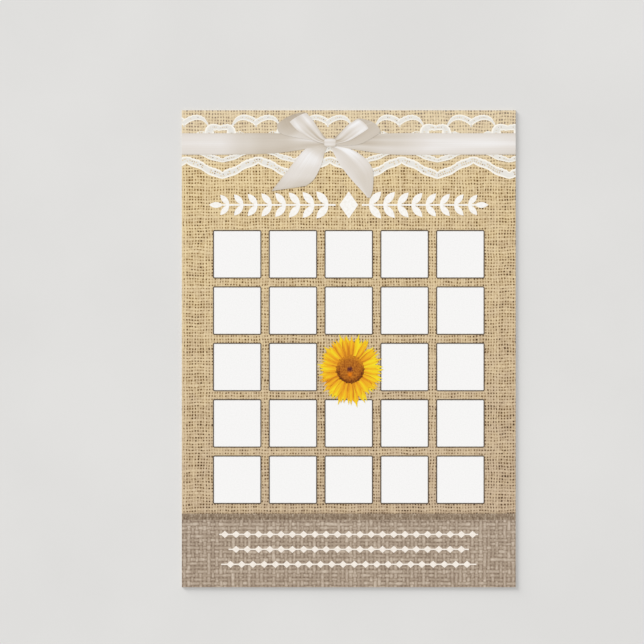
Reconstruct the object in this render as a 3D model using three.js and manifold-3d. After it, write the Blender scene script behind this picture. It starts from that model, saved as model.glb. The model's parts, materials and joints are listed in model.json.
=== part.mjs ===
// A printed bingo card: a sheet of coated card stock with a full-bleed picture printed on its face.
// Units are millimetres and +Z is up. The card lies face up with its head towards +Y, and the origin
// is the middle of its back. Every printed area is a film of its own, stacked in the order of printing.
import * as THREE from "three";
import { mergeVertices } from "three/addons/utils/BufferGeometryUtils.js";
import Module from "manifold-3d";

const wasm = await Module();
wasm.setup();

// Card stock.
const cardWidth = 88.9;
const cardHeight = 127;
const coreThickness = 0.4;
const coatingThickness = 0.03;

// Print films, thicker than real ink so that each one is a solid.
const inkThickness = 0.015;

// Linen band along the foot, with its folded hem.
const linenBandHeight = 19.6;
const linenHemHeight = 1.63;

// Five rows of five playing squares, with the free space in the middle left open.
const gridCount = 5;
const gridSideMargin = 8.4;
const gridTopMargin = 32;
const gridToLinenGap = 2.7;
const columnGap = 2.2;
const rowGap = 2.36;
const outlineWidth = 0.3;
const outlineCornerRadius = 0.3;

// Ribbon across the head, and the knot of its bow.
const ribbonTopInset = 6.1;
const ribbonWidth = 5.7;
const ribbonTaperLength = 13;
const ribbonToKnotGap = 0.3;
const knotLeftOfCentre = 5;
const knotAboveRibbonCentre = 0.3;
const knotWidth = 3.3;
const knotHeight = 2.3;

// Loops of the bow: each front face is a fan from the knot to an open mouth, over a longer back face.
const loopRootWidth = 1.8;
const leftLoop = { length: 11.1, mouth: 4.8, slant: 1, angleDegrees: 38 };
const leftLoopBack = { length: 13.1, mouth: 5.4, slant: 1.7, angleDegrees: 31 };
const rightLoop = { length: 10.2, mouth: 4, slant: 0.5, angleDegrees: 29 };
const rightLoopBack = { length: 12.8, mouth: 4.6, slant: 0.4, angleDegrees: 18 };

// Tails of the bow: points of each edge from the knot to the cut end, out from the knot and down from it.
const leftTail = {
  outer: [[1.5, -0.3], [6.6, 0.5], [9.6, 3.7], [12.5, 7.5], [15.4, 11.6]],
  inner: [[1.3, 0.2], [1.6, 1.4], [2.5, 5], [4.4, 8], [6.7, 10.2]],
};
const rightTail = {
  outer: [[1.2, -0.3], [6.2, 0.7], [10.1, 3.3], [11.4, 7.3], [11.2, 12.8]],
  inner: [[0.4, 0.2], [1.1, 1.9], [2.4, 4], [4.6, 7.3], [10.5, 13.9]],
};

// Lace edging under the ribbon. Its upper edge has a pair of tall arches, then a pair of low ones.
const laceRepeat = 19.1;
const laceStepsPerRepeat = 24;
const tallArch = { width: 6.05, rise: 4.7, innerFootRise: 3, outerFootRise: 0.2, band: 1.3 };
const lowArch = { width: 4.1, rise: 2.2, innerFootRise: 1.3, outerFootRise: 0.2, band: 2.4 };
const laceInnerBand = 1.1;
const laceInnerDepth = 3.2;
const laceOuterBand = 2;
const laceOuterDrop = 3.5;
const laceOuterDepth = 4.2;

// Leaf sprigs and a diamond, in a row between the lace and the squares.
const titleSideMargin = 7;
const titleClearance = 3.2;
const titleStemWidth = 0.45;
const titleDiamondWidth = 5;
const titleDiamondGap = 1;
const titleLeafPairs = 8;
const titleLeafLeanDegrees = 48;
const titleLeafWidthShare = 0.42;
const titleLastLeafShare = 0.75;

// Beaded rules on the linen band.
const footRowWidths = [69, 64, 68];
const footTopMargin = 3.9;
const footBottomMargin = 6.1;
const footRuleWidth = 0.35;
const footBeadWidth = 2.2;
const footBeadHeight = 1.9;
const footBeadPitch = 3;

// Sunflower on the free space, a little right of its middle and below it.
const flowerPetals = 23;
const flowerWidth = 17.1;
const flowerHeight = 17.9;
const flowerRightOfMiddle = 0.4;
const flowerBelowMiddle = 0.6;
const flowerFrontShare = 0.88;
const flowerValleyShare = 0.7;
const flowerShoulderShare = 0.9;
const flowerDiscDiameter = 7.4;
const flowerCentreDiameter = 2.4;

// Heights of the layers, counted from the coated face up.
const faceHeight = coreThickness + 2 * coatingThickness;
const inkOrder = {
  ground: 0,
  marks: 1,
  innerLace: 2,
  backPetals: 2,
  ribbon: 3,
  frontPetals: 3,
  tails: 4,
  disc: 4,
  loopBacks: 5,
  discCentre: 5,
  loopFronts: 6,
  knot: 7,
};

// Places worked out from the sizes above.
const halfWidth = cardWidth / 2;
const halfHeight = cardHeight / 2;
const linenTop = linenBandHeight - halfHeight;
const linenHemBottom = linenTop - linenHemHeight;
const gridTop = halfHeight - gridTopMargin;
const gridBottom = linenTop + gridToLinenGap;
const squareWidth = (cardWidth - 2 * gridSideMargin - (gridCount - 1) * columnGap) / gridCount;
const squareHeight = (gridTop - gridBottom - (gridCount - 1) * rowGap) / gridCount;
const freeIndex = (gridCount - 1) / 2;
const ribbonTop = halfHeight - ribbonTopInset;
const ribbonBottom = ribbonTop - ribbonWidth;
const knotX = -knotLeftOfCentre;
const knotY = (ribbonTop + ribbonBottom) / 2 + knotAboveRibbonCentre;
const laceOuterMiddle = ribbonBottom - laceOuterDrop;
const laceBottom = laceOuterMiddle - (laceOuterDepth + laceOuterBand) / 2;
const titleY = (laceBottom + gridTop) / 2;
const titleHeight = laceBottom - gridTop - 2 * titleClearance;

const colours = {
  core: [0xf1ece2, 0.85],
  coating: [0xf6f5f3, 0.5],
  burlap: [0xcbb38a, 0.62],
  linen: [0xab9987, 0.62],
  hem: [0x95816c, 0.62],
  lace: [0xf3ecdd, 0.6],
  ribbon: [0xe3ddd4, 0.5],
  ribbonShade: [0xcdc2b2, 0.5],
  outline: [0x524638, 0.6],
  backPetal: [0xe0a51e, 0.6],
  frontPetal: [0xefc225, 0.6],
  disc: [0xac672a, 0.65],
  discCentre: [0x5a3115, 0.65],
  white: [0xfbf9f4, 0.55],
};

const materials = Object.fromEntries(
  Object.entries(colours).map(([name, [color, roughness]]) => [
    name,
    new THREE.MeshStandardMaterial({ color, roughness, metalness: 0 }),
  ]),
);

const card = new THREE.Group();

function addMesh(name, geometry, material) {
  const mesh = new THREE.Mesh(geometry, materials[material]);
  mesh.name = name;
  card.add(mesh);
}

// A closed solid from a closed geometry, for joining and cutting.
function solidFrom(geometry) {
  const bare = geometry.clone();
  bare.deleteAttribute("normal");
  bare.deleteAttribute("uv");
  const merged = mergeVertices(bare);
  const vertProperties = merged.attributes.position.array;
  const triVerts = new Uint32Array(merged.index.array);
  return new wasm.Manifold(new wasm.Mesh({ numProp: 3, vertProperties, triVerts }));
}

function geometryFrom(solid) {
  const { vertProperties, triVerts } = solid.getMesh();
  const geometry = new THREE.BufferGeometry();
  geometry.setAttribute("position", new THREE.BufferAttribute(vertProperties, 3));
  geometry.setIndex(new THREE.BufferAttribute(triVerts, 1));
  geometry.computeVertexNormals();
  return geometry;
}

function joined(geometries) {
  return geometryFrom(geometries.map(solidFrom).reduce((whole, piece) => whole.add(piece)));
}

// A flat plate between two heights, of any outline.
function plate(shape, bottom, thickness, curveSegments = 4) {
  const geometry = new THREE.ExtrudeGeometry(shape, { depth: thickness, bevelEnabled: false, curveSegments });
  return geometry.translate(0, 0, bottom);
}

// A film of ink in its place in the order of printing.
function film(shape, order, curveSegments) {
  return plate(shape, faceHeight + inkOrder[order] * inkThickness, inkThickness, curveSegments);
}

function rectangle(left, bottom, right, top) {
  const corners = [[left, bottom], [right, bottom], [right, top], [left, top]];
  return new THREE.Shape(corners.map(([x, y]) => new THREE.Vector2(x, y)));
}

function roundedRectangle(width, height, radius, path) {
  const x = width / 2 - radius;
  const y = height / 2 - radius;
  const quarter = Math.PI / 2;
  [[x, y], [-x, y], [-x, -y], [x, -y]].forEach(([cornerX, cornerY], corner) => {
    path.absarc(cornerX, cornerY, radius, corner * quarter, (corner + 1) * quarter);
  });
  return path;
}

function diamond(x, y, width, height) {
  const corners = [[x + width / 2, y], [x, y + height / 2], [x - width / 2, y], [x, y - height / 2]];
  return new THREE.Shape(corners.map(([cornerX, cornerY]) => new THREE.Vector2(cornerX, cornerY)));
}

// Card stock: an uncoated core between two smooth coatings.
function addCardStock() {
  const sheet = rectangle(-halfWidth, -halfHeight, halfWidth, halfHeight);
  addMesh("back_coating", plate(sheet, 0, coatingThickness), "coating");
  addMesh("card_core", plate(sheet, coatingThickness, coreThickness), "core");
  addMesh("front_coating", plate(sheet, coatingThickness + coreThickness, coatingThickness), "coating");
}

// Centres of the playing squares, row 1 at the head and column 1 at the left.
function squareCentres() {
  const centres = [];
  for (let row = 0; row < gridCount; row++) {
    for (let column = 0; column < gridCount; column++) {
      if (row === freeIndex && column === freeIndex) continue;
      const x = (column - freeIndex) * (squareWidth + columnGap);
      const y = gridTop - squareHeight / 2 - row * (squareHeight + rowGap);
      centres.push({ row: row + 1, column: column + 1, x, y });
    }
  }
  return centres;
}

// Burlap ground, left unprinted inside the playing squares, where the white coating shows.
function addBurlap() {
  const ground = film(rectangle(-halfWidth, linenTop, halfWidth, halfHeight), "ground");
  const windowDepth = 4 * inkThickness;
  const solid = squareCentres().reduce((left, { x, y }) => {
    const opening = new THREE.BoxGeometry(squareWidth, squareHeight, windowDepth);
    opening.translate(x, y, faceHeight + inkThickness / 2);
    return left.subtract(solidFrom(opening));
  }, solidFrom(ground));
  addMesh("burlap_print", geometryFrom(solid), "burlap");
}

function addLinen() {
  const hem = rectangle(-halfWidth, linenHemBottom, halfWidth, linenTop);
  const band = rectangle(-halfWidth, -halfHeight, halfWidth, linenHemBottom);
  addMesh("linen_hem_print", film(hem, "ground"), "hem");
  addMesh("linen_band_print", film(band, "ground"), "linen");
}

// Ink outline of each playing square, centred on the edge of its unprinted opening.
function addSquareOutlines() {
  const radius = outlineCornerRadius;
  const spread = outlineWidth / 2;
  for (const { row, column, x, y } of squareCentres()) {
    const outerWidth = squareWidth + outlineWidth;
    const outerHeight = squareHeight + outlineWidth;
    const shape = roundedRectangle(outerWidth, outerHeight, radius + spread, new THREE.Shape());
    const innerWidth = squareWidth - outlineWidth;
    const innerHeight = squareHeight - outlineWidth;
    shape.holes.push(roundedRectangle(innerWidth, innerHeight, radius - spread, new THREE.Path()));
    addMesh(`square_outline_r${row}_c${column}`, film(shape, "marks", 1).translate(x, y, 0), "outline");
  }
}

// Places across the card where the lace is worked out: its own steps from the knot, and both edges.
function lacePlaces() {
  const step = laceRepeat / laceStepsPerRepeat;
  const first = Math.ceil((-halfWidth - knotX) / step + 0.1);
  const last = Math.floor((halfWidth - knotX) / step - 0.1);
  const places = [-halfWidth];
  for (let index = first; index <= last; index++) places.push(knotX + index * step);
  return [...places, halfWidth];
}

// A band across the whole card, between its upper edge and a depth below it.
function laceBand(topAt, depthAt) {
  const places = lacePlaces();
  const upper = places.map((x) => new THREE.Vector2(x, topAt(x)));
  const lower = places.map((x) => new THREE.Vector2(x, topAt(x) - depthAt(x)));
  return new THREE.Shape([...lower, ...upper.reverse()]);
}

// How far a place is from the nearest peak of the lace: there is one at the knot and at each repeat.
function fromLacePeak(x) {
  const repeats = (x - knotX) / laceRepeat;
  return Math.abs(repeats - Math.round(repeats)) * laceRepeat;
}

// Rounded zigzag from 1 at a peak to -1 half a repeat away.
function laceZigzag(x) {
  const roundness = 0.98;
  const turn = (2 * Math.PI * fromLacePeak(x)) / laceRepeat;
  return Math.asin(roundness * Math.cos(turn)) / Math.asin(roundness);
}

// Height of a pair of arches, at a distance from the middle of the pair.
function archPair(distance, { width, rise, innerFootRise, outerFootRise }) {
  const roundness = 2.4;
  const fromTop = distance - width / 2;
  const foot = fromTop < 0 ? innerFootRise : outerFootRise;
  return rise - (rise - foot) * Math.abs((2 * fromTop) / width) ** roundness;
}

// The scalloped edge over the ribbon: its height, and the arch that it belongs to.
function laceScallop(x) {
  const distance = fromLacePeak(x);
  const tall = archPair(distance, tallArch);
  const low = archPair(laceRepeat / 2 - distance, lowArch);
  return tall > low ? { height: tall, band: tallArch.band } : { height: low, band: lowArch.band };
}

function addLace() {
  const upper = laceBand((x) => ribbonTop + laceScallop(x).height, (x) => laceScallop(x).band);
  const innerTop = ribbonBottom + laceInnerBand / 2;
  const inner = laceBand((x) => innerTop + (laceZigzag(x) * laceInnerDepth) / 2, () => laceInnerBand);
  const outerTop = laceOuterMiddle + laceOuterBand / 2;
  const outer = laceBand((x) => outerTop + (laceZigzag(x) * laceOuterDepth) / 2, () => laceOuterBand);
  addMesh("lace_upper_edge_print", film(upper, "marks"), "lace");
  addMesh("lace_inner_band_print", film(inner, "innerLace"), "lace");
  addMesh("lace_outer_band_print", film(outer, "marks"), "lace");
}

// One half of the ribbon, from the edge of the card to the knot, drawn in towards the knot.
function ribbonHalf(side) {
  const edge = side * halfWidth;
  const knotEdge = knotX + (side * ribbonToKnotGap) / 2;
  const taper = knotX + side * ribbonTaperLength;
  const bend = (knotEdge + taper) / 2;
  const gather = loopRootWidth / 2;
  const shape = new THREE.Shape();
  shape.moveTo(edge, ribbonTop);
  shape.lineTo(taper, ribbonTop);
  shape.bezierCurveTo(bend, ribbonTop, bend, knotY + gather, knotEdge, knotY + gather);
  shape.lineTo(knotEdge, knotY - gather);
  shape.bezierCurveTo(bend, knotY - gather, bend, ribbonBottom, taper, ribbonBottom);
  shape.lineTo(edge, ribbonBottom);
  return shape;
}

// A fan of ribbon from the knot to a mouth, along a line that rises away from it.
function loopFan(side, { length, mouth, slant, angleDegrees }) {
  const root = loopRootWidth / 2;
  const half = mouth / 2;
  const start = ribbonToKnotGap / 2;
  const slope = THREE.MathUtils.degToRad(angleDegrees);
  const place = (along, across) => [
    knotX + side * (start + along * Math.cos(slope) - across * Math.sin(slope)),
    knotY + along * Math.sin(slope) + across * Math.cos(slope),
  ];
  const swell = length / 2;
  const bulge = mouth / 6;
  const shape = new THREE.Shape();
  shape.moveTo(...place(root, -root));
  shape.bezierCurveTo(...place(swell, -root), ...place(swell, -half), ...place(length + slant, -half));
  shape.quadraticCurveTo(...place(length + bulge, 0), ...place(length - slant, half));
  shape.bezierCurveTo(...place(swell, half), ...place(swell, root), ...place(root, root));
  return shape;
}

// A tail of ribbon that swells below the knot and falls to a slanting cut.
function tailShape(side, { outer, inner }) {
  const place = ([out, down]) => new THREE.Vector2(knotX + side * out, knotY - knotHeight / 2 - down);
  const [start, ...outerEdge] = outer.map(place);
  const [cutEnd, ...innerEdge] = inner.map(place).reverse();
  const shape = new THREE.Shape();
  shape.moveTo(...start);
  shape.splineThru(outerEdge);
  shape.lineTo(...cutEnd);
  shape.splineThru(innerEdge);
  return shape;
}

function addRibbonAndBow() {
  const knot = roundedRectangle(knotWidth, knotHeight, knotHeight / 3, new THREE.Shape());
  const halves = [
    { name: "left", side: -1, loop: leftLoop, loopBack: leftLoopBack, tail: leftTail },
    { name: "right", side: 1, loop: rightLoop, loopBack: rightLoopBack, tail: rightTail },
  ];
  for (const { name, side, loop, loopBack, tail } of halves) {
    addMesh(`ribbon_${name}_print`, film(ribbonHalf(side), "ribbon", 6), "ribbon");
    addMesh(`bow_${name}_tail_print`, film(tailShape(side, tail), "tails", 4), "ribbon");
    addMesh(`bow_${name}_loop_back_print`, film(loopFan(side, loopBack), "loopBacks", 6), "ribbonShade");
    addMesh(`bow_${name}_loop_front_print`, film(loopFan(side, loop), "loopFronts", 6), "ribbon");
  }
  addMesh("bow_knot_print", film(knot, "knot", 4).translate(knotX, knotY, 0), "ribbon");
}

// A pointed leaf from its stalk along an angle.
function leaf(x, y, length, width, angle) {
  const place = (along, across) => [
    x + along * Math.cos(angle) - across * Math.sin(angle),
    y + along * Math.sin(angle) + across * Math.cos(angle),
  ];
  const shape = new THREE.Shape();
  shape.moveTo(x, y);
  shape.quadraticCurveTo(...place(length / 2, width), ...place(length, 0));
  shape.quadraticCurveTo(...place(length / 2, -width), x, y);
  return shape;
}

// A leafy sprig that grows sideways from the diamond in the middle, its leaves smaller towards the tip.
function titleSprig(side) {
  const from = titleDiamondWidth / 2 + titleDiamondGap;
  const length = halfWidth - titleSideMargin - from;
  const pitch = length / (titleLeafPairs + 1);
  const lean = THREE.MathUtils.degToRad(titleLeafLeanDegrees);
  const firstLeaf = titleHeight / 2 / Math.sin(lean);
  const half = titleStemWidth / 2;
  const outward = side > 0 ? 0 : Math.PI;
  const leafFilm = (out, leafLength, angle) => {
    const width = leafLength * titleLeafWidthShare;
    return film(leaf(side * out, titleY, leafLength, width, angle), "marks", 5);
  };
  const stemEnd = from + length - pitch;
  const [left, right] = [side * from, side * stemEnd].sort((a, b) => a - b);
  const pieces = [film(rectangle(left, titleY - half, right, titleY + half), "marks")];
  for (let pair = 0; pair < titleLeafPairs; pair++) {
    const shrink = 1 - ((1 - titleLastLeafShare) * pair) / (titleLeafPairs - 1);
    const out = from + pitch * (pair + 0.5);
    pieces.push(leafFilm(out, firstLeaf * shrink, outward + lean));
    pieces.push(leafFilm(out, firstLeaf * shrink, outward - lean));
  }
  pieces.push(leafFilm(stemEnd - half, pitch, outward));
  return joined(pieces);
}

function addTitleOrnament() {
  addMesh("title_sprig_left_print", titleSprig(-1), "white");
  addMesh("title_sprig_right_print", titleSprig(1), "white");
  addMesh("title_diamond_print", film(diamond(0, titleY, titleDiamondWidth, titleHeight), "marks"), "white");
}

// A thin rule strung with diamond beads.
function beadedRule(y, width) {
  const half = footRuleWidth / 2;
  const beads = Math.max(1, Math.floor((width - footBeadWidth) / footBeadPitch));
  const pieces = [film(rectangle(-width / 2, y - half, width / 2, y + half), "marks")];
  for (let bead = 0; bead <= beads; bead++) {
    const x = (bead - beads / 2) * footBeadPitch;
    pieces.push(film(diamond(x, y, footBeadWidth, footBeadHeight), "marks"));
  }
  return joined(pieces);
}

function addFootRows() {
  const firstRow = linenHemBottom - footTopMargin;
  const pitch = (firstRow + halfHeight - footBottomMargin) / (footRowWidths.length - 1);
  footRowWidths.forEach((width, row) => {
    addMesh(`foot_row_${row + 1}_print`, beadedRule(firstRow - row * pitch, width), "white");
  });
}

// Middle of the flower, set off from the middle of the free space.
function flowerMiddle() {
  const freeSpaceY = gridTop - squareHeight / 2 - freeIndex * (squareHeight + rowGap);
  return { x: flowerRightOfMiddle, y: freeSpaceY - flowerBelowMiddle };
}

// A ring of pointed petals, turned by a part of a petal.
function petalRing(share, turn) {
  const middle = flowerMiddle();
  const shoulder = 0.28;
  const outline = [
    [0, flowerValleyShare],
    [shoulder, flowerShoulderShare],
    [0.5, 1],
    [1 - shoulder, flowerShoulderShare],
  ];
  const points = [];
  for (let petal = 0; petal < flowerPetals; petal++) {
    for (const [part, reach] of outline) {
      const angle = ((petal + part + turn) * 2 * Math.PI) / flowerPetals;
      const x = (Math.cos(angle) * reach * share * flowerWidth) / 2;
      const y = (Math.sin(angle) * reach * share * flowerHeight) / 2;
      points.push(new THREE.Vector2(middle.x + x, middle.y + y));
    }
  }
  return new THREE.Shape(points);
}

function roundSpot(diameter) {
  const { x, y } = flowerMiddle();
  return new THREE.Shape().absarc(x, y, diameter / 2, 0, 2 * Math.PI);
}

function addFlower() {
  addMesh("flower_back_petals_print", film(petalRing(1, 0), "backPetals"), "backPetal");
  addMesh("flower_front_petals_print", film(petalRing(flowerFrontShare, 0.5), "frontPetals"), "frontPetal");
  addMesh("flower_disc_print", film(roundSpot(flowerDiscDiameter), "disc", 12), "disc");
  addMesh("flower_centre_print", film(roundSpot(flowerCentreDiameter), "discCentre", 8), "discCentre");
}

addCardStock();
addBurlap();
addLinen();
addSquareOutlines();
addLace();
addRibbonAndBow();
addTitleOrnament();
addFootRows();
addFlower();

export default card;
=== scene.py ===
"""Looks of a printed bingo card: its stock, the woven grounds, the lace, the satin bow and the sunflower.

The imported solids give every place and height. Sizes in this file are millimetres, and meshes are metres.
"""

import json
import logging
import math
import random
from collections.abc import Callable, Sequence
from dataclasses import dataclass, field, replace
from enum import Enum

import bmesh
import bpy
from mathutils import Matrix, Vector

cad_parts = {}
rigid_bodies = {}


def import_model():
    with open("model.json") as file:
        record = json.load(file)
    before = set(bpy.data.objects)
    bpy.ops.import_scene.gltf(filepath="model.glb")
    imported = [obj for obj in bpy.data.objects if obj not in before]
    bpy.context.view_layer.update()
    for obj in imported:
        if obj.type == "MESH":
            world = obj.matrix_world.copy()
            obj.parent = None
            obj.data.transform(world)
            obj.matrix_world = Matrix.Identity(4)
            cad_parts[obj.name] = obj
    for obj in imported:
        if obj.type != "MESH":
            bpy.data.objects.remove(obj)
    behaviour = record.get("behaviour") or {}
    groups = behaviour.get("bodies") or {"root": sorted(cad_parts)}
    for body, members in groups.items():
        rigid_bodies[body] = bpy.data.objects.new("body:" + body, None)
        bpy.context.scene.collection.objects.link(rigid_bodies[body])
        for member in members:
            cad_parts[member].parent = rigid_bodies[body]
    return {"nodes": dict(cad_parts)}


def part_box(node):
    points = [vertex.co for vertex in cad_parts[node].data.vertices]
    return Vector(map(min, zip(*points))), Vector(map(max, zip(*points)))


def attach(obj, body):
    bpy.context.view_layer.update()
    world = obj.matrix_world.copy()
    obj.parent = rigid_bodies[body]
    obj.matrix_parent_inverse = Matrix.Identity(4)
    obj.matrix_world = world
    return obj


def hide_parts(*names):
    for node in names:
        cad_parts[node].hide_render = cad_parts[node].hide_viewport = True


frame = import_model()

LOG = logging.getLogger("bingo_card")
MM = 0.001
BODY = "root"
BLANK_HALF = 10 * MM
MIDDLE = 0.5

# Curve from a screen's channel to linear light
FULL_CHANNEL = 255
TOE_END = 0.04045
TOE_SLOPE = 12.92
CURVE_OFFSET = 0.055
CURVE_POWER = 2.4

# Faint relief and mottle that the finishes share
RELIEF_STRENGTH = 0.15
RELIEF_HEIGHT = 0.02 * MM
MOTTLE_SCALE = 1.6
MOTTLE_DETAIL = 3.0

# Inputs of a mix node that a colour mix skips, and its colour output
MIX_SKIPPED = 5
MIX_COLOUR = 2

Socket = bpy.types.NodeSocket
Piece = bpy.types.Object
Finish = bpy.types.Material
Colour = tuple[int, int, int]
Signal = Socket | float
Offsets = Sequence[tuple[float, float]]
Tones = Sequence[tuple[float, float]]
Stops = Sequence[tuple[float, Colour]]
Limits = tuple[float, float]


class Side(Enum):
    """Half of the bow, or of the row of leaves under it."""

    LEFT = -1
    RIGHT = 1

    @property
    def word(self) -> str:
        """The side as it stands in a node's name."""
        return self.name.lower()


class Slot(Enum):
    """Material slots of the record."""

    CORE = "stock_core"
    COATING = "stock_coating"
    BURLAP = "ink_burlap"
    LINEN = "ink_linen"
    HEM = "ink_hem"
    LACE = "ink_lace"
    RIBBON = "ink_ribbon"
    RIBBON_SHADE = "ink_ribbon_shade"
    OUTLINE = "ink_outline"
    PETAL_BACK = "ink_petal_back"
    PETAL = "ink_petal"
    DISC = "ink_disc"
    DISC_CENTRE = "ink_disc_centre"
    WHITE = "ink_white"


class PetalTip(Enum):
    """End of a ray petal: its width, and how far each of its points is pulled, as shares of the petal."""

    POINTED = (0.34, (-0.14, -0.03, 0.05, -0.05, -0.16))
    CLEFT = (0.74, (-0.14, 0.04, -0.2, 0.01, -0.17))


def linear(colour: Colour) -> tuple[float, float, float, float]:
    """Turns a printed colour into the linear one that a shader takes.

    Args:
        colour: Red, green and blue from 0 to 255.

    Returns:
        Linear red, green, blue and full opacity.
    """
    def channel(value: int) -> float:
        """One channel, by the screen's own curve.

        Args:
            value: The channel from 0 to 255.

        Returns:
            Its linear share.
        """
        share = value / FULL_CHANNEL
        if share <= TOE_END:
            return share / TOE_SLOPE
        return ((share + CURVE_OFFSET) / (1 + CURVE_OFFSET)) ** CURVE_POWER

    red, green, blue = (channel(value) for value in colour)
    return (red, green, blue, 1.0)


class Sketch:
    """Writes one procedural material, node by node."""

    def __init__(self, name: str, roughness: float, specular: float = 0.15) -> None:
        """Starts a material.

        Args:
            name: The material's name.
            roughness: Roughness of the whole surface.
            specular: Strength of its mirror-like share.
        """
        self.material = bpy.data.materials.new(name)
        self.material.use_nodes = True
        self.tree = self.material.node_tree
        self.shader = self.tree.nodes["Principled BSDF"]
        self.shader.inputs["Roughness"].default_value = roughness
        self.shader.inputs["Specular IOR Level"].default_value = specular

    def add(self, kind: str, *values: object, **settings: object) -> bpy.types.Node:
        """Adds a node.

        Args:
            kind: The node's type, without the words that all shader nodes share.
            values: Its inputs in order: sockets are linked, and None leaves an input alone.
            settings: Properties to set on the node.

        Returns:
            The node.
        """
        node = self.tree.nodes.new("ShaderNode" + kind)
        for key, value in settings.items():
            setattr(node, key, value)
        for index, value in enumerate(values):
            if isinstance(value, Socket):
                self.tree.links.new(value, node.inputs[index])
            elif value is not None:
                node.inputs[index].default_value = value
        return node

    def math(self, operation: str, *values: Signal) -> Socket:
        """One arithmetic step on numbers or sockets."""
        return self.add("Math", *values, operation=operation).outputs[0]

    def total(self, *values: Signal) -> Signal:
        """The sum of several numbers or sockets.

        Args:
            values: What is summed, in order.

        Returns:
            The sum.
        """
        result = values[0]
        for value in values[1:]:
            result = self.math("ADD", result, value)
        return result

    def minus(self, first: Signal, second: Signal) -> Socket:
        """The first number less the second."""
        return self.math("SUBTRACT", first, second)

    def times(self, first: Signal, second: Signal) -> Socket:
        """One number times another."""
        return self.math("MULTIPLY", first, second)

    def line(self, value: Signal, slope: Signal, start: Signal) -> Socket:
        """A number on a straight line."""
        return self.math("MULTIPLY_ADD", value, slope, start)

    def spread(self, value: Signal, amount: float) -> Socket:
        """Centres a share from 0 to 1 on zero and scales it."""
        return self.times(self.minus(value, MIDDLE), amount)

    def from_middle(self, share: Signal) -> Socket:
        """How far a share from 0 to 1 is from its middle."""
        return self.math("ABSOLUTE", self.minus(share, MIDDLE))

    def fade(self, value: Signal, start: Signal, end: Signal) -> Socket:
        """A smooth step from 0 at the start to 1 at the end."""
        step = self.add("MapRange", value, start, end, 0.0, 1.0, interpolation_type="SMOOTHSTEP")
        return step.outputs[0]

    def between(self, share: Signal, first: Signal, second: Signal) -> Socket:
        """A number part of the way from the first to the second."""
        return self.add("Mix", share, None, first, second, data_type="FLOAT").outputs[0]

    def paint(self, share: Signal, first: Signal, second: Signal) -> Socket:
        """A colour part of the way from the first to the second."""
        skipped = (None,) * MIX_SKIPPED
        return self.add("Mix", share, *skipped, first, second, data_type="RGBA").outputs[MIX_COLOUR]

    def place(self) -> Socket:
        """The place on the card.

        Returns:
            Millimetres from the card's middle.
        """
        coordinates = self.add("TexCoord").outputs["Object"]
        scaled = self.add("VectorMath", coordinates, operation="SCALE")
        scaled.inputs["Scale"].default_value = 1 / MM
        return scaled.outputs[0]

    def split(self, vector: Socket) -> tuple[Socket, Socket]:
        """The first two numbers of a vector."""
        parts = self.add("SeparateXYZ", vector).outputs
        return parts[0], parts[1]

    def length(self, vector: Socket) -> Socket:
        """How far a flat vector reaches."""
        x, y = self.split(vector)
        return self.math("SQRT", self.line(x, x, self.times(y, y)))

    def strip_place(self) -> tuple[Socket, Socket]:
        """How far along and across its strip a place is, each from 0 to 1."""
        return self.split(self.add("UVMap", uv_map="UVMap").outputs[0])

    def pair(self, first: Signal, second: Signal) -> Socket:
        """A vector of two numbers."""
        return self.add("CombineXYZ", first, second).outputs[0]

    def noise(self, vector: Socket, scale: float = 1.0, detail: float = 2.0) -> bpy.types.Node:
        """Soft noise over a flat place."""
        return self.add("TexNoise", vector, None, scale, detail, noise_dimensions="2D")

    def cloud(self, vector: Socket, scale: float = 1.0, detail: float = 2.0) -> Socket:
        """The share of soft noise, about 0.5."""
        return self.noise(vector, scale, detail).outputs[0]

    def mottle(self) -> Socket:
        """The uneven cover of ink on a place."""
        return self.cloud(self.place(), MOTTLE_SCALE, MOTTLE_DETAIL)

    def chance(self, number: Signal) -> Socket:
        """A share from 0 to 1 that belongs to a whole number."""
        return self.add("TexWhiteNoise", None, number, noise_dimensions="1D").outputs[0]

    def crossing_chance(self, column: Signal, row: Signal) -> Socket:
        """A share from 0 to 1 that belongs to a pair of whole numbers."""
        return self.add("TexWhiteNoise", self.pair(column, row), noise_dimensions="2D").outputs[0]

    def ramp(self, share: Signal, stops: Stops) -> Socket:
        """A colour from a row of stops."""
        return self.stops(share, [(at, linear(colour)) for at, colour in stops], "LINEAR")

    def curve(self, share: Signal, stops: Tones) -> Socket:
        """A tone from a row of stops, smooth between them."""
        return self.stops(share, [(at, (tone, tone, tone, 1.0)) for at, tone in stops], "EASE")

    def stops(self, share: Signal, stops: Sequence[tuple], interpolation: str) -> Socket:
        """A colour ramp.

        Args:
            share: What the ramp reads, from 0 to 1.
            stops: Places and linear colours, in order.
            interpolation: How the ramp runs between its stops.

        Returns:
            The colour's socket.
        """
        node = self.add("ValToRGB", share)
        row = node.color_ramp
        row.interpolation = interpolation
        while len(row.elements) < len(stops):
            row.elements.new(1.0)
        for element, (at, colour) in zip(row.elements, stops):
            element.position = at
            element.color = colour
        return node.outputs[0]

    def finish(self, colour: Socket, relief: Signal | None = None) -> Finish:
        """Joins the colour, and a faint relief, to the shader.

        Args:
            colour: The surface's colour.
            relief: Height of the surface as a share, if it has any.

        Returns:
            The finished material.
        """
        self.tree.links.new(colour, self.shader.inputs["Base Color"])
        if relief is not None:
            bump = self.add("Bump", RELIEF_STRENGTH, RELIEF_HEIGHT)
            self.tree.links.new(relief, bump.inputs["Height"])
            self.tree.links.new(bump.outputs[0], self.shader.inputs["Normal"])
        return self.material


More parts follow.
